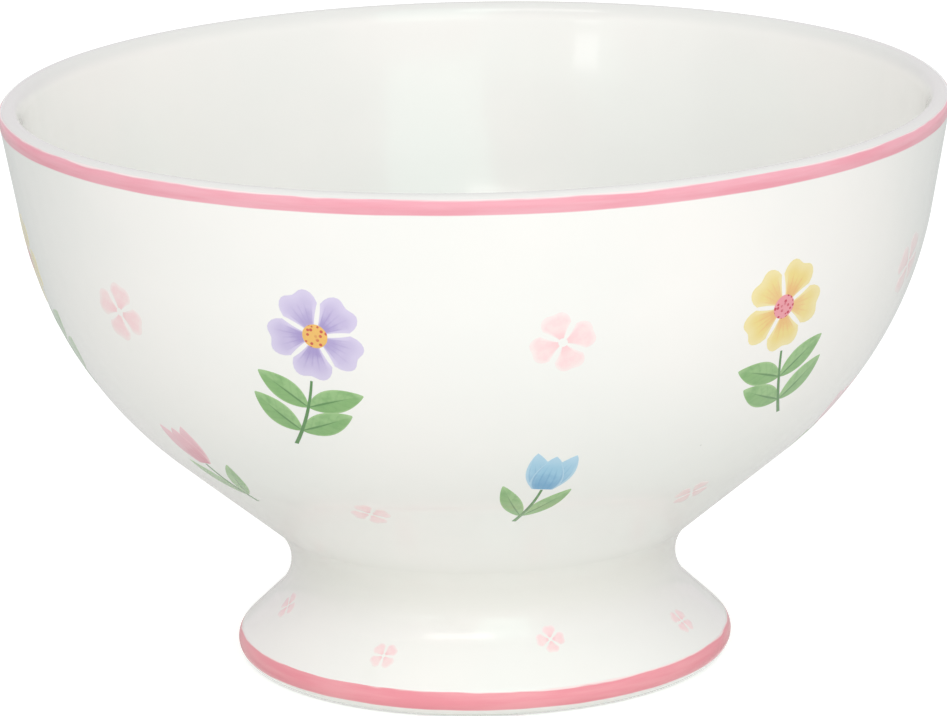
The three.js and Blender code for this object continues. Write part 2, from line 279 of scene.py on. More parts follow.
def make_piece(name, points, faces, materials, nodes=(), layers=None, picks=None):
    """A smooth piece from points in millimetres, with vectors on its points and a material for each face."""
    mesh = bpy.data.meshes.new(name)
    mesh.from_pydata((np.asarray(points) * MM).tolist(), [], faces)
    for layer, values in (layers or {}).items():
        store = mesh.attributes.new(layer, "FLOAT_VECTOR", "POINT")
        store.data.foreach_set("vector", np.asarray(values, float).ravel())
    for material in materials:
        mesh.materials.append(material)
    if picks is not None:
        mesh.polygons.foreach_set("material_index", picks)
    mesh.shade_smooth()
    mesh.set_sharp_from_angle(angle=SHARP_EDGE)
    piece = bpy.data.objects.new(name, mesh)
    scene.collection.objects.link(piece)
    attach(piece, "root")
    if nodes:
        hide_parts(*nodes)


def lathe(profile, closed):
    """Points and faces of a turned section: a closed loop, or a chain from axis to axis."""
    bearings = np.linspace(0, 2 * math.pi, TURNS, endpoint=False)
    points = []
    rings = []
    for radius, height in profile:
        start = len(points)
        if radius < 1e-6:
            points.append((0.0, 0.0, height))
            rings.append([start] * TURNS)
        else:
            points.extend(around(radius, bearings, np.full(TURNS, height)))
            rings.append(range(start, start + TURNS))
    faces = []
    below = rings[1:] + [rings[0]] if closed else rings[1:]
    for upper, lower in zip(rings, below):
        for j in range(TURNS):
            k = (j + 1) % TURNS
            corners = (upper[j], lower[j], lower[k], upper[k])
            faces.append(tuple(dict.fromkeys(corners)))
    return points, faces


def brushed_ring(upper, lower):
    """A thin ring of enamel between two wavy edges, given as drops for each bearing."""
    bearings = np.linspace(0, 2 * math.pi, BAND_TURNS, endpoint=False)[:, None]
    share = np.linspace(0, 1, BAND_STEPS + 1)
    drops = upper(bearings) + (lower(bearings) - upper(bearings)) * share
    crown = ENAMEL_LIFT * (1 - (2 * share - 1) ** 4) + BAND_EDGE_LIFT
    radius, height = on_outside(drops, crown)
    over = around(radius, bearings, height)
    radius, height = on_outside(drops, ENAMEL_ROOT)
    under = around(radius, bearings, height)
    loop = np.concatenate((over, under[:, ::-1]), axis=1)
    size = loop.shape[1]
    paint = np.zeros(loop.shape)
    paint[..., 0] = np.concatenate((share, share[::-1]))
    faces = []
    for j in range(BAND_TURNS):
        here = j * size
        beside = (j + 1) % BAND_TURNS * size
        for k in range(size):
            n = (k + 1) % size
            faces.append((here + k, here + n, beside + n, beside + k))
    return loop.reshape(-1, 3), faces, paint.reshape(-1, 3)


class Transfer:
    """Thin patches of enamel on the outside, gathered into one piece. Flat places are in millimetres."""

    # How far apart the brush marks of two sprigs lie in their pattern, for each radian between them
    MARKS_APART = 9

    def __init__(self, drop, bearing, tilt):
        self.drop = drop
        self.bearing = math.radians(bearing)
        self.tilt = math.radians(tilt)
        self.points = []
        self.faces = []
        self.paint = []
        self.flat = []

    def lay(self, x, y, lift):
        """Where flat places come to lie on the wall."""
        right, up = turn(x, y, self.tilt)
        drop = self.drop - up
        bearing = self.bearing + right / on_outside(drop, 0.0)[0]
        radius, height = on_outside(drop, lift)
        return around(radius, bearing, height)

    def patch(self, x, y, t, c, tone, lift=ENAMEL_LIFT):
        """One patch from a grid of flat places, with its shares along and across, as a closed thin body."""
        rows, columns = x.shape
        area = (x[1:, :-1] - x[:-1, :-1]) * (y[:-1, 1:] - y[:-1, :-1])
        area = area - (y[1:, :-1] - y[:-1, :-1]) * (x[:-1, 1:] - x[:-1, :-1])
        edge = np.maximum(np.abs(c), np.abs(2 * t - 1))
        over = self.lay(x, y, lift * (1 - 0.6 * edge ** 6))
        under = self.lay(x, y, ENAMEL_ROOT)
        first = sum(len(p) for p in self.points)
        count = rows * columns
        index = np.arange(count).reshape(rows, columns)
        rim = np.concatenate((index[0, :-1], index[:-1, -1], index[-1, :0:-1], index[:0:-1, 0]))
        quads = [index[:-1, :-1], index[:-1, 1:], index[1:, 1:], index[1:, :-1]]
        quads = np.stack(quads, axis=-1).reshape(-1, 4)
        walls = np.stack((np.roll(rim, -1), rim, rim + count, np.roll(rim, -1) + count), axis=-1)
        faces = np.concatenate((quads, quads[:, ::-1] + count, walls)) + first
        if area.sum() > 0:
            faces = faces[:, ::-1]
        self.points += [over.reshape(-1, 3), under.reshape(-1, 3)]
        self.faces += faces.tolist()
        marks = np.full(x.shape, self.bearing * self.MARKS_APART)
        paint = np.stack((t, c, np.full(x.shape, tone)), axis=-1).reshape(-1, 3)
        flat = np.stack((x, y, marks), axis=-1).reshape(-1, 3)
        self.paint += [paint, paint]
        self.flat += [flat, flat]

    def piece(self, name, material, slot, nodes=()):
        layers = {"paint": np.concatenate(self.paint), "flat": np.concatenate(self.flat)}
        make_piece(name, np.concatenate(self.points), self.faces, [material], nodes, layers)


def shares(rows, columns):
    """Shares along a patch from 0 to 1, and across it from -1 to 1."""
    return np.meshgrid(np.linspace(0, 1, rows + 1), np.linspace(-1, 1, columns + 1), indexing="ij")


def turn(x, y, angle):
    """Flat places turned about the origin."""
    return x * math.cos(angle) - y * math.sin(angle), x * math.sin(angle) + y * math.cos(angle)


# Materials

# Heights in metres between which the glaze and its painted shade change: where each change starts, is full,
# fades and has gone
SOFT_GLOSS = (0.011, 0.017, 0.03, 0.042)
# Pooled glaze at the neck, greyed as painted shade in the hollow
NECK_POOL_AND_SHADE = (0.009, 0.0165, 0.0175, 0.026)
# Thin glaze on the lip, darkened as painted shade
LIP_SHADE_FROM = 0.0888
LIP_SHADE_FULL = 0.0909

# Mirror of the glaze: its strength, its roughness where it is clear and where it is softest
GLAZE_IOR = 1.5
GLAZE_COAT = 0.7
CLEAR_COAT = 0.06
SOFT_COAT = 0.2

# Roughness under the glaze, the depth of its waves in metres, and the weaker mirror of the bands
LEAST_ROUGH = 0.17
MOST_ROUGH = 0.23
GLAZE_WAVES = 0.0006
BISQUE_GRAIN = 0.0001
BAND_COAT = 0.05
BAND_SPECULAR = 0.2


def colour(code):
    """A colour from its six-figure code, as the shader wants it."""
    values = [int(code[i:i + 2], 16) / 255 for i in (0, 2, 4)]
    return [v / 12.92 if v <= 0.04045 else ((v + 0.055) / 1.055) ** 2.4 for v in values] + [1.0]


class Paint:
    """A procedural material: a principled surface and the nodes that feed it."""

    def __init__(self, name):
        self.material = bpy.data.materials.new(name)
        self.material.use_nodes = True
        self.tree = self.material.node_tree
        self.surface = self.tree.nodes["Principled BSDF"]
        self.place = self.node("ShaderNodeTexCoord").outputs["Object"]

    def node(self, kind, **settings):
        made = self.tree.nodes.new(kind)
        for key, value in settings.items():
            setattr(made, key, value)
        return made

    def plug(self, socket, value):
        if isinstance(value, bpy.types.NodeSocket):
            self.tree.links.new(value, socket)
        else:
            socket.default_value = value

    def math(self, operation, *values):
        made = self.node("ShaderNodeMath", operation=operation)
        for socket, value in zip(made.inputs, values):
            self.plug(socket, value)
        return made.outputs[0]

    def smooth(self, value, low, high, start=0.0, end=1.0):
        """A soft step from start to end while the value goes from low to high."""
        made = self.node("ShaderNodeMapRange", interpolation_type="SMOOTHSTEP")
        for socket, given in zip(made.inputs, (value, low, high, start, end)):
            self.plug(socket, given)
        return made.outputs[0]

    def between(self, value, start, full, fading, gone):
        """One between the middle two values, and nothing outside the other two."""
        rise = self.smooth(value, start, full)
        return self.math("MULTIPLY", rise, self.smooth(value, fading, gone, 1.0, 0.0))

    def mix(self, factor, first, second):
        made = self.node("ShaderNodeMix", data_type="RGBA")
        self.plug(made.inputs[0], factor)
        self.plug(made.inputs[6], first)
        self.plug(made.inputs[7], second)
        return made.outputs[2]

    def noise(self, place, scale, detail=2.0, roughness=0.5):
        made = self.node("ShaderNodeTexNoise")
        self.plug(made.inputs["Vector"], place)
        made.inputs["Scale"].default_value = scale
        made.inputs["Detail"].default_value = detail
        made.inputs["Roughness"].default_value = roughness
        return made.outputs["Fac"]

    def cells(self, place, scale, randomness=1.0):
        """Scattered cells: the distance from the middle of each, and its colour by chance."""
        made = self.node("ShaderNodeTexVoronoi")
        self.plug(made.inputs["Vector"], place)
        made.inputs["Scale"].default_value = scale
        made.inputs["Randomness"].default_value = randomness
        return made.outputs["Distance"], made.outputs["Color"]

    def stretched(self, place, scale):
        made = self.node("ShaderNodeVectorMath", operation="MULTIPLY")
        self.plug(made.inputs[0], place)
        made.inputs[1].default_value = scale
        return made.outputs[0]

    def split(self, vector):
        made = self.node("ShaderNodeSeparateXYZ")
        self.plug(made.inputs[0], vector)
        return made.outputs

    def layer(self, name):
        """A vector layer stored on the mesh."""
        return self.node("ShaderNodeAttribute", attribute_name=name).outputs["Vector"]

    def uneven(self, value, pattern):
        """A value that a pattern round one half pushes to and fro."""
        return self.math("ADD", value, self.math("MULTIPLY", self.math("SUBTRACT", pattern, 0.5), 0.5))

    def off_whole(self, value):
        """How far a value is from the nearest whole number."""
        return self.math("ABSOLUTE", self.math("SUBTRACT", value, self.math("ROUND", value)))

    def bump(self, height, distance):
        """A surface normal from a pattern of heights."""
        made = self.node("ShaderNodeBump")
        made.inputs["Strength"].default_value = 0.5
        made.inputs["Distance"].default_value = distance
        self.plug(made.inputs["Height"], height)
        return made.outputs[0]

    def glaze(self):
        """The fired clear glaze that lies over everything: gloss, and the slow waves of a dipped surface."""
        inputs = self.surface.inputs
        inputs["IOR"].default_value = GLAZE_IOR
        inputs["Coat Weight"].default_value = GLAZE_COAT
        soft = self.between(self.split(self.place)[2], *SOFT_GLOSS)
        inputs["Coat Roughness"].default_value = CLEAR_COAT
        self.plug(inputs["Coat Roughness"], self.smooth(soft, 0.0, 1.0, CLEAR_COAT, SOFT_COAT))
        haze = self.noise(self.place, 60.0, 3.0)
        self.plug(inputs["Roughness"], self.smooth(haze, 0.3, 0.7, LEAST_ROUGH, MOST_ROUGH))
        slow = self.noise(self.place, 28.0, 1.0)
        fine = self.noise(self.place, 170.0, 1.0)
        waves = self.bump(self.math("ADD", slow, self.math("MULTIPLY", fine, 0.08)), GLAZE_WAVES)
        self.plug(inputs["Normal"], waves)
        self.plug(inputs["Coat Normal"], waves)

    def finish(self, base):
        self.plug(self.surface.inputs["Base Color"], base)
        return self.material


PORCELAIN = colour("f6f7f2")
PORCELAIN_COOL = colour("f2f5f0")
# Pooled glaze at the neck, greyed as painted shade
POOLED_GLAZE_AND_SHADE = colour("e6e9df")
# Thin glaze on the lip, darkened as painted shade
LIP_THIN_GLAZE_AND_SHADE = colour("e6eae5")
SPECK = colour("a9aca2")
BISQUE_BUFF = colour("ece6d9")
BISQUE_PALE = colour("f3efe6")
BISQUE_RUBBED = colour("c9c3b6")
LEAF_GREEN = colour("83b46e")
LEAF_LIGHT = colour("a0ca8b")
LEAF_WASH = colour("6ea45d")
LEAF_VEIN = colour("5f9450")
LEAF_RIB = colour("4f8546")
LEAF_EDGE = colour("b9d9a4")
STEM_GREEN = colour("558a4c")
BLOSSOM_PINK = colour("f9dadb")
BLOSSOM_PALE = colour("f9e4e2")
BLOSSOM_HEART = colour("f6c9cc")


def porcelain():
    """White body under clear glaze: faint clouds and specks, pooled glaze and painted shade at the neck, and
    thin glaze on the lip darkened as painted shade.
    """
    paint = Paint("glazed_porcelain")
    paint.glaze()
    clouds = paint.smooth(paint.noise(paint.place, 22.0, 3.0), 0.35, 0.65)
    base = paint.mix(clouds, PORCELAIN, PORCELAIN_COOL)
    height = paint.split(paint.place)[2]
    # Pooled glaze and painted shade at the neck
    base = paint.mix(paint.math("MULTIPLY", paint.between(height, *NECK_POOL_AND_SHADE), 0.5), base, POOLED_GLAZE_AND_SHADE)
    # Thin glaze and painted shade on the lip
    base = paint.mix(paint.smooth(height, LIP_SHADE_FROM, LIP_SHADE_FULL), base, LIP_THIN_GLAZE_AND_SHADE)
    distance, chance = paint.cells(paint.place, 150.0)
    chosen = paint.math("GREATER_THAN", paint.split(chance)[0], 0.972)
    spot = paint.smooth(distance, 0.012, 0.03, 1.0, 0.0)
    speck = paint.math("MULTIPLY", paint.math("MULTIPLY", chosen, spot), 0.55)
    return paint.finish(paint.mix(speck, base, SPECK))


def bisque():
    """The unglazed standing ring: dry, grainy and a little rubbed."""
    paint = Paint("bisque_ring")
    grain = paint.noise(paint.place, 2600.0, 2.0, 0.7)
    rubs = paint.smooth(paint.noise(paint.stretched(paint.place, (1.0, 1.0, 0.2)), 210.0, 3.0), 0.5, 0.75)
    base = paint.mix(grain, BISQUE_BUFF, BISQUE_PALE)
    base = paint.mix(paint.math("MULTIPLY", rubs, 0.45), base, BISQUE_RUBBED)
    paint.plug(paint.surface.inputs["Roughness"], paint.smooth(grain, 0.3, 0.7, 0.78, 0.92))
    paint.plug(paint.surface.inputs["Normal"], paint.bump(grain, BISQUE_GRAIN))
    return paint.finish(base)


def band_enamel(name, full, thin, worn):
    """Pink enamel from a loaded brush: streaks along the stroke, a thin upper edge and a firm lower one."""
    paint = Paint(name)
    paint.glaze()
    paint.surface.inputs["Coat Weight"].default_value = BAND_COAT
    paint.surface.inputs["Specular IOR Level"].default_value = BAND_SPECULAR
    share = paint.split(paint.layer("paint"))[0]
    streaks = paint.noise(paint.stretched(paint.place, (0.22, 0.22, 3.2)), 260.0, 3.0, 0.6)
    patches = paint.noise(paint.place, 55.0, 2.0)
    load = paint.math("ADD", paint.math("MULTIPLY", streaks, 0.6), paint.math("MULTIPLY", patches, 0.4))
    base = paint.mix(paint.smooth(load, 0.36, 0.66), full, thin)
    upper = paint.smooth(paint.uneven(share, streaks), 0.0, worn, 1.0, 0.0)
    lower = paint.smooth(share, 0.93, 1.0)
    base = paint.mix(paint.math("MULTIPLY", upper, 0.75), base, PORCELAIN)
    base = paint.mix(paint.math("MULTIPLY", lower, 0.5), base, PORCELAIN)
    return paint.finish(base)


def petal_enamel(name, edge, middle, deep):
    """A painted petal: a flush of deep colour at its base, fine veins and a pale watery edge."""
    paint = Paint(name)
    paint.glaze()
    along, across, tone = paint.split(paint.layer("paint"))
    shifted = paint.uneven(along, paint.noise(paint.layer("flat"), 0.55, 3.0, 0.55))
    base = paint.mix(paint.smooth(shifted, 0.1, 0.62, 0.85, 0.0), middle, deep)
    rimward = paint.math("MAXIMUM", paint.math("ABSOLUTE", across), along)
    base = paint.mix(paint.smooth(rimward, 0.6, 1.0, 0.0, 0.8), base, edge)
    nearest = paint.off_whole(paint.math("MULTIPLY", across, 2.6))
    vein = paint.smooth(nearest, 0.06, 0.2, 1.0, 0.0)
    vein = paint.math("MULTIPLY", vein, paint.smooth(shifted, 0.3, 0.8, 0.5, 0.0))
    base = paint.mix(vein, base, deep)
    base = paint.mix(paint.math("MULTIPLY", tone, 0.35), base, edge)
    return paint.finish(base)


def leaf_enamel():
    """A painted leaf: one half lighter, a dark midrib, faint side veins and uneven colour."""
    paint = Paint("painted_leaf")
    paint.glaze()
    along, across, tone = paint.split(paint.layer("paint"))
    wash = paint.noise(paint.layer("flat"), 0.7, 3.0, 0.55)
    light = paint.math("MULTIPLY", paint.smooth(across, -0.15, 0.2), 0.55)
    base = paint.mix(light, LEAF_GREEN, LEAF_LIGHT)
    base = paint.mix(paint.smooth(wash, 0.4, 0.72, 0.0, 0.5), base, LEAF_WASH)
    width = paint.math("ABSOLUTE", across)
    slanted = paint.math("MULTIPLY", paint.math("SUBTRACT", along, paint.math("MULTIPLY", width, 0.2)), 6.0)
    vein = paint.math("MULTIPLY", paint.smooth(paint.off_whole(slanted), 0.05, 0.2, 1.0, 0.0), 0.12)
    base = paint.mix(vein, base, LEAF_VEIN)
    narrow = paint.math("MULTIPLY", paint.math("SUBTRACT", 0.8, along), 0.2)
    rib = paint.smooth(paint.math("SUBTRACT", width, narrow), -0.05, 0.03, 0.85, 0.0)
    base = paint.mix(rib, base, LEAF_RIB)
    rimward = paint.math("MAXIMUM", width, along)
    base = paint.mix(paint.smooth(rimward, 0.82, 1.0, 0.0, 0.45), base, LEAF_EDGE)
    base = paint.mix(tone, base, STEM_GREEN)
    return paint.finish(base)


def eye_enamel(name, middle, dots):
    """The eye of a bloom: a soft disc with a ring of stippled dots."""
    paint = Paint(name)
    paint.glaze()
    along = paint.split(paint.layer("paint"))[0]
    distance = paint.cells(paint.layer("flat"), 1.35, 0.65)[0]
    dot = paint.smooth(distance, 0.3, 0.42, 1.0, 0.0)
    dot = paint.math("MULTIPLY", dot, paint.smooth(along, 0.15, 0.55, 0.35, 1.0))
    return paint.finish(paint.mix(dot, middle, dots))


def filler_enamel():
    """Very pale pink, thinner towards the edges, so that the body shows through."""
    paint = Paint("painted_filler")
    paint.glaze()
    along, across = paint.split(paint.layer("paint"))[:2]
    wash = paint.noise(paint.layer("flat"), 0.6, 3.0, 0.55)
    base = paint.mix(paint.smooth(wash, 0.3, 0.7), BLOSSOM_PINK, BLOSSOM_PALE)
    base = paint.mix(paint.smooth(along, 0.0, 0.45, 0.55, 0.0), base, BLOSSOM_HEART)
    rimward = paint.math("MAXIMUM", paint.math("ABSOLUTE", across), along)
    base = paint.mix(paint.smooth(rimward, 0.75, 1.0, 0.0, 0.5), base, PORCELAIN)
    return paint.finish(base)


GLAZED = porcelain()
BISQUE = bisque()
RIM_PINK = band_enamel("brushed_rim_pink", colour("eba2af"), colour("efb3be"), 0.14)
FOOT_PINK = band_enamel("brushed_foot_pink", colour("ec98a2"), colour("f0a8af"), 0.08)
PETALS = (
    petal_enamel("painted_yellow", colour("f1e7ae"), colour("ecd987"), colour("e9b673")),
    petal_enamel("painted_lavender", colour("d9d3ec"), colour("c6bde0"), colour("9f91c9")),
)
EYES = (
    eye_enamel("painted_rose_eye", colour("ea9aa4"), colour("c43b52")),
    eye_enamel("painted_gold_eye", colour("edbd62"), colour("c9563f")),
)
TULIPS = (
    petal_enamel("painted_blue", colour("b9dcee"), colour("97cae4"), colour("5d9fca")),
    petal_enamel("painted_rose", colour("f5cbd2"), colour("edaebb"), colour("d97a8f")),
)
LEAF = leaf_enamel()
FILLER = filler_enamel()

# Cup, neck and foot


def bent(start, start_lean, end, end_lean, steps):
    """A gently bent stretch between two places, leaning as told at either end, without the ends."""
    reach = np.linalg.norm(end - start)
    leave = reach * np.array((math.sin(start_lean), math.cos(start_lean)))
    arrive = reach * np.array((math.sin(end_lean), math.cos(end_lean)))
    t = np.linspace(0, 1, steps + 1)[1:-1, None]
    ends = (2 * t ** 3 - 3 * t ** 2 + 1) * start + (3 * t ** 2 - 2 * t ** 3) * end
    return ends + (t ** 3 - 2 * t ** 2 + t) * leave + (t ** 3 - t ** 2) * arrive


inside_belly = arc(inner_belly, inner_belly_radius, -LOWER_LEAN, -INSIDE_LEAN, INSIDE_STEPS)

# The inside of the lip is a quarter of an oval, from the wall under it to its top
roll_rise = LIP_ROLL * math.sin(LIP_LEAN)
roll_reach = LIP_RADIUS + (LIP_ROLL - LIP_RADIUS) * math.sin(LIP_LEAN)
roll_run = math.sqrt(roll_reach ** 2 - roll_rise ** 2)
roll_start = math.pi - math.atan2(roll_rise, roll_run)
roll = arc((0.0, 0.0), 1.0, roll_start, math.pi / 2, ROLL_STEPS)
inside_lip = roll * (roll_run / math.cos(LIP_LEAN), LIP_ROLL) + (lip[0], HEIGHT - LIP_ROLL)

recess_corner = (BORE_RADIUS - RECESS_FILLET, recess_ceiling - RECESS_FILLET)
cup_profile = np.concatenate((
    ((0.0, floor_height),),
    arc(dish, FLOOR_RADIUS, -math.pi / 2, -LOWER_LEAN, DISH_STEPS),
    inside_belly,
    bent(inside_belly[-1], INSIDE_LEAN, inside_lip[0], LIP_LEAN, WALL_STEPS),
    inside_lip[:-1],
    eased(cup_outside(1)),
    ((BORE_RADIUS, joint_top),),
    arc(recess_corner, RECESS_FILLET, 0, math.pi / 2, CORNER_STEPS),
    ((0.0, recess_ceiling),),
))
points, faces = lathe(cup_profile, False)
make_piece("glazed_cup", points, faces, [GLAZED], ["cup"])

foot_profile = np.concatenate((
    eased(foot_outside(1)),
    arc(standing, STANDING_EDGE, -math.pi / 2, -math.pi, STANDING_STEPS),
    ((BORE_RADIUS, joint_bottom),),
))
points, faces = lathe(foot_profile, True)
heights = np.array([point[2] for point in points])
dry = [int(max(heights[list(face)]) < DRY_HEIGHT) for face in faces]
make_piece("glazed_foot", points, faces, [GLAZED, BISQUE], ["pedestal_foot"], picks=dry)

neck_profile = np.concatenate((
    eased(neck_outside(1)),
    ((BORE_RADIUS, joint_bottom), (BORE_RADIUS, joint_top)),
))
points, faces = lathe(neck_profile, True)
make_piece("glazed_neck", points, faces, [GLAZED], ["luting_slip"])

# Brushed bands


def wavy(drop, amount, waves):
    """An edge drawn by hand: a drop that wanders a little round the bowl."""
    def edge(bearing):
        wander = 0 * bearing
        for count, size, phase in waves:
            wander = wander + size * np.sin(count * bearing + phase)
        return drop + amount * wander
    return edge


# Waves of an edge: how many go round the bowl, their size and their phase
SLOW_WAVES = ((2, 0.5, 0.4), (5, 0.35, 2.1), (9, 0.25, 4.0), (17, 0.3, 1.2), (31, 0.22, 3.3), (53, 0.15, 0.7))
FIRM_WAVES = ((3, 0.5, 1.7), (7, 0.3, 0.2), (13, 0.25, 5.1), (29, 0.2, 2.6), (47, 0.12, 4.4))

points, faces, paint = brushed_ring(
    wavy(RIM_BAND_DROP, RIM_BAND_WANDER, SLOW_WAVES),
    wavy(RIM_BAND_DROP + RIM_BAND_WIDTH, RIM_BAND_WANDER, FIRM_WAVES),
)
make_piece("brushed_rim_band", points, faces, [RIM_PINK], ["rim_band"], {"paint": paint})

foot_band_drop = outside_length - FOOT_BAND_RISE - FOOT_BAND_WIDTH
points, faces, paint = brushed_ring(
    wavy(foot_band_drop, FOOT_BAND_UPPER_WANDER, FIRM_WAVES),
    wavy(foot_band_drop + FOOT_BAND_WIDTH, FOOT_BAND_LOWER_WANDER, SLOW_WAVES),
)
make_piece("brushed_foot_band", points, faces, [FOOT_PINK], ["foot_band"], {"paint": paint})

# Painted sprigs


def petal(start, reach, spread, notch):
    """A petal straight up from the origin, with a notch in its edge."""
    t, c = shares(*PETAL_GRID)
    edge = reach * (1 - 0.3 * np.abs(c) ** 3 - notch * np.exp(-(c / 0.3) ** 2))
    radius = start + (edge - start) * t
    angle = spread * c * (0.78 + 0.22 * t)
    return radius * np.sin(angle), radius * np.cos(angle), t, c


def leaf(length, width, curl):
    """A pointed leaf along +x from the origin, curled to one side."""
    t, c = shares(*LEAF_GRID)
    half = width / 2 * np.sin(math.pi * t ** 0.9) ** 0.85 + LEAF_HALF_LEAST
    return length * t, c * half + curl * t ** 2, t, c


def spray(transfer, top, hand, length, bend, tail, leaf_length, leaf_width, spread, pairs):
    """A stem that bends to one hand, with pairs of leaves, each leaf its own stroke of the brush."""
    bend = bend * hand
    t, c = shares(*STEM_GRID)
    half = STEM_HALF_WIDTH + STEM_GROWTH * t
    transfer.patch(bend * t ** 2 + c * half, top - length * t, t, c, 1.0, ENAMEL_LIFT * STEM_LAYERS)
    for pair in range(pairs):
        down = (length - tail) * (1 - pair / pairs)
        aside = bend * (down / length) ** 2
        for flip in (1, -1):
            x, y, t, c = leaf(leaf_length, leaf_width, LEAF_CURL * flip * (1 - 2 * (pair % 2)))
            x, y = turn(x, y, math.pi / 2 - flip * spread)
            transfer.patch(x + aside, y + top - down, t, c * flip, 0.0)


def bloom_sprig(number, choice, bearing, tilt):
    """A round bloom with its eye, stem and leaves."""
    head = Transfer(BLOOM_DROP, bearing, tilt)
    for i in range(BLOOM_PETALS):
        x, y, t, c = petal(BLOOM_MIDDLE, BLOOM_RADIUS, BLOOM_SPREAD, BLOOM_NOTCH)
        x, y = turn(x, y, math.pi + i * math.radians(360 / BLOOM_PETALS))
        head.patch(x, y, t, c, 0.5 * (i % 2))
    head.piece(f"painted_bloom_{number}_petals", PETALS[choice], ("petal_yellow", "petal_lavender")[choice],
               [f"bloom_{number}_petals"])
    eye = Transfer(BLOOM_DROP, bearing, tilt)
    t, c = shares(*EYE_GRID)
    eye.patch(EYE_RADIUS * t * np.sin(c * math.pi), EYE_RADIUS * t * np.cos(c * math.pi), t, c, 0.0,
              ENAMEL_LIFT * EYE_LAYERS)
    eye.piece(f"painted_bloom_{number}_eye", EYES[choice], ("eye_rose", "eye_gold")[choice],
              [f"bloom_{number}_eye"])
    green = Transfer(BLOOM_DROP, bearing, tilt)
    spray(green, -BLOOM_RADIUS - STEM_GAP, -1 if choice else 1, **BLOOM_STEM, **BLOOM_LEAVES)
    green.piece(f"painted_bloom_{number}_leaves", LEAF, "leaf_green", [f"bloom_{number}_leaves"])


def tulip_sprig(number, choice, bearing, tilt):
    """A tulip with its stem and leaves."""
    head = Transfer(TULIP_DROP, bearing, tilt)
    for aside, reach, width, layers in TULIP_PETALS:
        t, c = shares(*TULIP_GRID)
        half = width * np.sin(math.pi * (0.12 + 0.88 * t) ** 0.8) ** 0.8
        x = aside * t ** 1.1 + c * half
        y = -TULIP_HEIGHT / 2 + reach * t
        head.patch(x, y, t, c, 0.6 if aside else 0.0, ENAMEL_LIFT * layers)
    head.piece(f"painted_tulip_{number}_petals", TULIPS[choice], ("petal_blue", "petal_rose")[choice],
               [f"tulip_{number}_petals"])
    green = Transfer(TULIP_DROP, bearing, tilt)
    spray(green, -TULIP_HEIGHT / 2 - STEM_GAP, -1 if choice else 1, **TULIP_STEM, **TULIP_LEAVES)
    green.piece(f"painted_tulip_{number}_leaves", LEAF, "leaf_green", [f"tulip_{number}_leaves"])


def filler(name, drop, bearing, tilt, radius):
    """A small pale blossom with four petals, between the sprigs."""
    flower = Transfer(drop, bearing, tilt)
    for i in range(BLOSSOM_PETALS):
        x, y, t, c = petal(radius * BLOSSOM_MIDDLE, radius, BLOSSOM_SPREAD, BLOSSOM_NOTCH)
        x, y = turn(x, y, i * 2 * math.pi / BLOSSOM_PETALS)
        flower.patch(x, y, t, c, 0.0)
    flower.piece(name, FILLER, "petal_rose")


for i in range(SPRIGS):
    lean = -1 if i % 2 else 1
    bloom_bearing = BLOOM_BEARING + SPRIG_STEP * i
    tulip_bearing = TULIP_BEARING + SPRIG_STEP * i
    bloom_sprig(i + 1, i % 2, bloom_bearing, lean * BLOOM_TILT)
    tulip_sprig(i + 1, i % 2, tulip_bearing, lean * TULIP_TILT)
    filler(f"painted_filler_upper_{i + 1}", UPPER_BLOSSOM_DROP, tulip_bearing,
           lean * UPPER_BLOSSOM_TILT, UPPER_BLOSSOM_RADIUS)
    filler(f"painted_filler_lower_{i + 1}", LOWER_BLOSSOM_DROP, bloom_bearing,
           lean * LOWER_BLOSSOM_TILT, LOWER_BLOSSOM_RADIUS)

for i in range(FOOT_BLOSSOMS):
    filler(f"painted_filler_foot_{i + 1}", outside_length - FOOT_BLOSSOM_RISES[i % 2],
           FOOT_BLOSSOM_BEARING + FOOT_BLOSSOM_STEP * i, FOOT_BLOSSOM_TILT * (i % 2), FOOT_BLOSSOM_RADIUS)

# Floor, board, world and lamps, in metres

STAGE_STEPS = 96
STAGE_RADIUS = 4.0
BOARD_INNER = 0.0405
BOARD_OUTER = 1.2
BOARD_HEIGHT = 0.0002
FLOOR_GLOW = 0.5
FLOOR_PALE = colour("e1e6e2")
FLOOR_PALER = colour("e5eae6")
BOARD_PALE = colour("f3f6f3")
BOARD_GREY = colour("d8dfdb")
BOARD_LIGHTER = colour("dee5e1")
WORLD_COLOUR = (0.788, 0.745, 0.77, 1.0)
LAMP_DISTANCE = 1.5


def studio_floor():
    """A pale sweep that shows white to the camera and keeps the shadow of the bowl."""
    paint = Paint("pale_floor")
    paint.surface.inputs["Roughness"].default_value = 0.9
    paint.surface.inputs["Specular IOR Level"].default_value = 0.1
    path = paint.node("ShaderNodeLightPath")
    seen = paint.math("ADD", path.outputs["Is Camera Ray"], path.outputs["Is Glossy Ray"])
    seen = paint.math("MINIMUM", paint.math("ADD", seen, path.outputs["Is Transmission Ray"]), 1.0)
    paint.surface.inputs["Emission Color"].default_value = (1.0, 1.0, 1.0, 1.0)
    paint.plug(paint.surface.inputs["Emission Strength"], paint.math("MULTIPLY", seen, FLOOR_GLOW))
    grain = paint.noise(paint.place, 40.0, 2.0)
    return paint.finish(paint.mix(grain, FLOOR_PALE, FLOOR_PALER))


def grey_board():
    """A matt board, pale round the foot and in front of the bowl, and greyer behind it."""
    paint = Paint("grey_board")
    paint.surface.inputs["Roughness"].default_value = 1.0
    paint.surface.inputs["Specular IOR Level"].default_value = 0.0
    grain = paint.noise(paint.place, 30.0, 2.0)
    grey = paint.mix(grain, BOARD_GREY, BOARD_LIGHTER)
    behind = paint.smooth(paint.split(paint.place)[1], -0.16, 0.1)
    length = paint.node("ShaderNodeVectorMath", operation="LENGTH")
    paint.plug(length.inputs[0], paint.place)
    far = paint.math("MULTIPLY", behind, paint.smooth(length.outputs["Value"], 0.07, 0.24))
    return paint.finish(paint.mix(far, BOARD_PALE, grey))


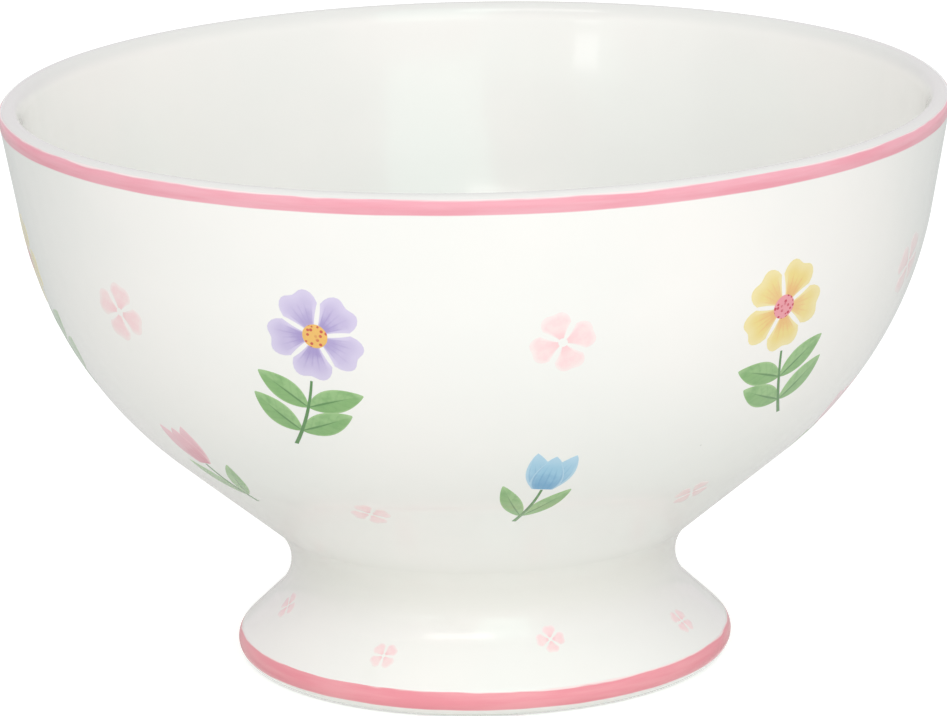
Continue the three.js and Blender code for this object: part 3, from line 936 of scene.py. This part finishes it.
def stage_sheet(name, inner, outer, height, material):
    """A flat ring of the stage, or a disc where its inner radius is nothing."""
    bearings = np.linspace(0, 2 * math.pi, STAGE_STEPS, endpoint=False)
    level = np.full(STAGE_STEPS, height)
    rim = around(outer, bearings, level).tolist()
    mesh = bpy.data.meshes.new(name)
    if inner:
        hole = around(inner, bearings, level).tolist()
        after = [(i + 1) % STAGE_STEPS for i in range(STAGE_STEPS)]
        quads = [(i, STAGE_STEPS + i, STAGE_STEPS + after[i], after[i]) for i in range(STAGE_STEPS)]
        mesh.from_pydata(hole + rim, [], quads)
    else:
        mesh.from_pydata(rim, [], [tuple(range(STAGE_STEPS))])
    mesh.materials.append(material)
    sheet = bpy.data.objects.new(name, mesh)
    scene.collection.objects.link(sheet)
    return sheet


stage_sheet("studio_floor", 0.0, STAGE_RADIUS, 0.0, studio_floor())

# A board laid round the foot, which only the glaze mirrors. It gives white china a darker outline on white.
board = stage_sheet("grey_board", BOARD_INNER, BOARD_OUTER, BOARD_HEIGHT, grey_board())
board.visible_camera = False
board.visible_shadow = False
board.visible_diffuse = False

world = bpy.data.worlds.new("studio")
scene.world = world
world.use_nodes = True
background = world.node_tree.nodes["Background"]
background.inputs["Color"].default_value = WORLD_COLOUR
background.inputs["Strength"].default_value = 1.0

AIM = Vector((-0.94, 0.0, 47.86)) * MM


def softbox(name, bearing, elevation, width, height, watts, tint):
    """A lamp with a wide face that looks at the bowl, at a bearing from the front towards the right."""
    lamp = bpy.data.lights.new(name, "AREA")
    lamp.shape = "RECTANGLE"
    lamp.size = width
    lamp.size_y = height
    lamp.energy = watts
    lamp.color = tint
    body = bpy.data.objects.new(name, lamp)
    scene.collection.objects.link(body)
    turn_out = math.radians(bearing)
    rise = math.radians(elevation)
    out = Vector((math.sin(turn_out) * math.cos(rise), -math.cos(turn_out) * math.cos(rise), math.sin(rise)))
    body.location = AIM + out * LAMP_DISTANCE
    body.rotation_euler = (-out).to_track_quat("-Z", "Y").to_euler()
    body.visible_camera = False
    return body


softbox("front_softbox", 11, 34, 0.74, 1.38, 2.9, (0.55, 1.0, 0.84))
softbox("upper_softbox", -18, 45, 0.85, 0.3, 1.3, (1.0, 0.93, 0.92))
fill_panel = softbox("fill_panel", 9, 13, 1.4, 0.7, 6.4, (1.0, 0.76, 0.83))
fill_panel.visible_glossy = False
softbox("left_fill", -48, 12, 0.8, 0.5, 0.3, (0.85, 1.0, 0.93))
softbox("side_strip", -21, 8.8, 1.06, 0.13, 0.16, (0.4, 1.0, 0.8))
softbox("accent_lamp", -31, 8.5, 0.17, 0.07, 0.08, (1.0, 1.0, 1.0))

# Camera at the photograph's place

DISTANCE = 944.7
ELEVATION = math.radians(14.42)
ROLL = math.radians(-1.17)
SENSOR_WIDTH = 36.0
FOCAL_LENGTH = 224.9

camera = bpy.data.cameras.new("camera")
camera.sensor_fit = "HORIZONTAL"
camera.sensor_width = SENSOR_WIDTH
camera.lens = FOCAL_LENGTH
camera.clip_start = 0.01
camera.clip_end = 50.0
eye_point = bpy.data.objects.new("camera", camera)
scene.collection.objects.link(eye_point)
back = Vector((0.0, -math.cos(ELEVATION), math.sin(ELEVATION)))
eye_point.location = AIM + back * DISTANCE * MM
eye_point.rotation_mode = "QUATERNION"
eye_point.rotation_quaternion = (-back).to_track_quat("-Z", "Y") @ Quaternion((0.0, 0.0, 1.0), ROLL)
scene.camera = eye_point

scene.view_settings.view_transform = "Standard"
